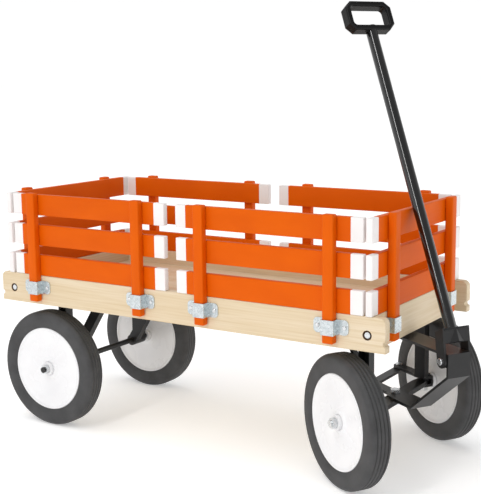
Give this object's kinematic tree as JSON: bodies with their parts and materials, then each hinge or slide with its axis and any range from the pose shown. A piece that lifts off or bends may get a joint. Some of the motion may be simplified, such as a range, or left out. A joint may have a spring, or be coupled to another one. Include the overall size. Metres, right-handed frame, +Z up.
{
  "type": "pull wagon",
  "caption": "Flat-bed children's pull wagon with lift-out slatted racks, linked steering on kingpins, a hinged pull handle and solid-tyred steel wheels.",
  "frame": {"origin": "centre of the whole wagon's box at rest, on the ground it stands on", "axes": "+X towards the pull handle (forward), +Y to the wagon's own left, +Z up"},
  "size_m": [1.0514, 0.5039, 0.895],
  "materials": {
    "orange_painted_wood": "satin painted",
    "hardwood": "clear varnished",
    "galvanised_steel": "galvanised",
    "zinc_plated_steel": "zinc plated",
    "black_painted_steel": "gloss powder coat",
    "white_enamelled_steel": "gloss enamel",
    "tyre_rubber": "moulded rubber",
    "grip_plastic": "moulded, fine texture"
  },
  "bodies": {
    "wagon": {"side_board_right": "hardwood", "side_board_left": "hardwood", "end_board_front": "hardwood", "end_board_rear": "hardwood", "floor_planks": "hardwood", "cross_battens": "hardwood", "corner_bolts": "zinc_plated_steel", "stake_pockets": "galvanised_steel", "pocket_screws": "zinc_plated_steel", "slats_front": "orange_painted_wood", "stakes_front": "orange_painted_wood", "rear_axle": "black_painted_steel", "rear_axle_nuts": "zinc_plated_steel", "rear_legs": "black_painted_steel", "rear_braces": "black_painted_steel", "front_legs": "black_painted_steel", "front_braces": "black_painted_steel", "kingpins": "black_painted_steel", "kingpin_nuts": "zinc_plated_steel", "centre_pivot_bolts": "zinc_plated_steel", "front_axle_beam": "black_painted_steel", "gear_screws": "zinc_plated_steel"},
    "rack_right_rear": {"slats_right_rear": "orange_painted_wood", "stakes_right_rear": "orange_painted_wood"},
    "rack_right_front": {"slats_right_front": "orange_painted_wood", "stakes_right_front": "orange_painted_wood"},
    "rack_left_rear": {"slats_left_rear": "orange_painted_wood", "stakes_left_rear": "orange_painted_wood"},
    "rack_left_front": {"slats_left_front": "orange_painted_wood", "stakes_left_front": "orange_painted_wood"},
    "rack_rear": {"slats_rear": "orange_painted_wood", "stakes_rear": "orange_painted_wood"},
    "tongue": {"tongue": "black_painted_steel", "hinge_block": "black_painted_steel"},
    "tie_rod": {"tie_rod": "black_painted_steel", "tie_rod_pins": "zinc_plated_steel"},
    "knuckle_right": {"knuckle_right": "black_painted_steel", "stub_axle_right": "black_painted_steel", "axle_nut_right": "zinc_plated_steel"},
    "knuckle_left": {"knuckle_left": "black_painted_steel", "stub_axle_left": "black_painted_steel", "axle_nut_left": "zinc_plated_steel"},
    "handle": {"yoke": "black_painted_steel", "hinge_bolt": "zinc_plated_steel", "handle_tube": "black_painted_steel", "grip": "grip_plastic"},
    "wheel_rear_right": {"tyre_rear_right": "tyre_rubber", "rim_rear_right": "white_enamelled_steel", "hub_rear_right": "white_enamelled_steel"},
    "wheel_rear_left": {"tyre_rear_left": "tyre_rubber", "rim_rear_left": "white_enamelled_steel", "hub_rear_left": "white_enamelled_steel"},
    "wheel_front_right": {"tyre_front_right": "tyre_rubber", "rim_front_right": "white_enamelled_steel", "hub_front_right": "white_enamelled_steel"},
    "wheel_front_left": {"tyre_front_left": "tyre_rubber", "rim_front_left": "white_enamelled_steel", "hub_front_left": "white_enamelled_steel"}
  },
  "joints": [
    {"name": "steering", "type": "hinge", "parent": "wagon", "child": "tongue", "pos_m": [0.3413, 0, 0.133], "axis": [0, 0, 1], "range_deg": [0, 63]},
    {"name": "knuckle_right_turn", "type": "hinge", "parent": "wagon", "child": "knuckle_right", "pos_m": [0.3413, -0.139, 0.127], "axis": [0, 0, 1], "range_deg": [0, 63]},
    {"name": "knuckle_left_turn", "type": "hinge", "parent": "wagon", "child": "knuckle_left", "pos_m": [0.3413, 0.139, 0.127], "axis": [0, 0, 1], "range_deg": [0, 63]},
    {"name": "tie_rod_swing", "type": "hinge", "parent": "tongue", "child": "tie_rod", "pos_m": [0.26371, 0.04755, 0.133], "axis": [0, 0, 1], "range_deg": [-63, 0]},
    {"name": "handle_swing", "type": "hinge", "parent": "tongue", "child": "handle", "pos_m": [0.49989, -0.09718, 0.251], "axis": [0.5225, 0.8526, 0], "range_deg": [0, 136]},
    {"name": "wheel_rear_right_spin", "type": "hinge", "parent": "wagon", "child": "wheel_rear_right", "pos_m": [-0.3987, -0.173, 0.127], "axis": [0, 1, 0], "continuous": true},
    {"name": "wheel_front_right_spin", "type": "hinge", "parent": "knuckle_right", "child": "wheel_front_right", "pos_m": [0.32144, -0.1714, 0.127], "axis": [0.5225, 0.8526, 0], "continuous": true},
    {"name": "wheel_rear_left_spin", "type": "hinge", "parent": "wagon", "child": "wheel_rear_left", "pos_m": [-0.3987, 0.173, 0.127], "axis": [0, 1, 0], "continuous": true},
    {"name": "wheel_front_left_spin", "type": "hinge", "parent": "knuckle_left", "child": "wheel_front_left", "pos_m": [0.36115, 0.1714, 0.127], "axis": [0.5225, 0.8526, 0], "continuous": true},
    {"name": "rack_right_rear_lift", "type": "slide", "parent": "wagon", "child": "rack_right_rear", "axis": [0, 0, 1], "range_m": [0, 0.05]},
    {"name": "rack_right_front_lift", "type": "slide", "parent": "wagon", "child": "rack_right_front", "axis": [0, 0, 1], "range_m": [0, 0.05]},
    {"name": "rack_left_rear_lift", "type": "slide", "parent": "wagon", "child": "rack_left_rear", "axis": [0, 0, 1], "range_m": [0, 0.05]},
    {"name": "rack_left_front_lift", "type": "slide", "parent": "wagon", "child": "rack_left_front", "axis": [0, 0, 1], "range_m": [0, 0.05]},
    {"name": "rack_rear_lift", "type": "slide", "parent": "wagon", "child": "rack_rear", "axis": [0, 0, 1], "range_m": [0, 0.05]}
  ],
  "couplings": [
    {"joint": "knuckle_right_turn", "follows": "steering", "ratio": 1},
    {"joint": "knuckle_left_turn", "follows": "steering", "ratio": 1},
    {"joint": "tie_rod_swing", "follows": "steering", "ratio": -1}
  ]
}
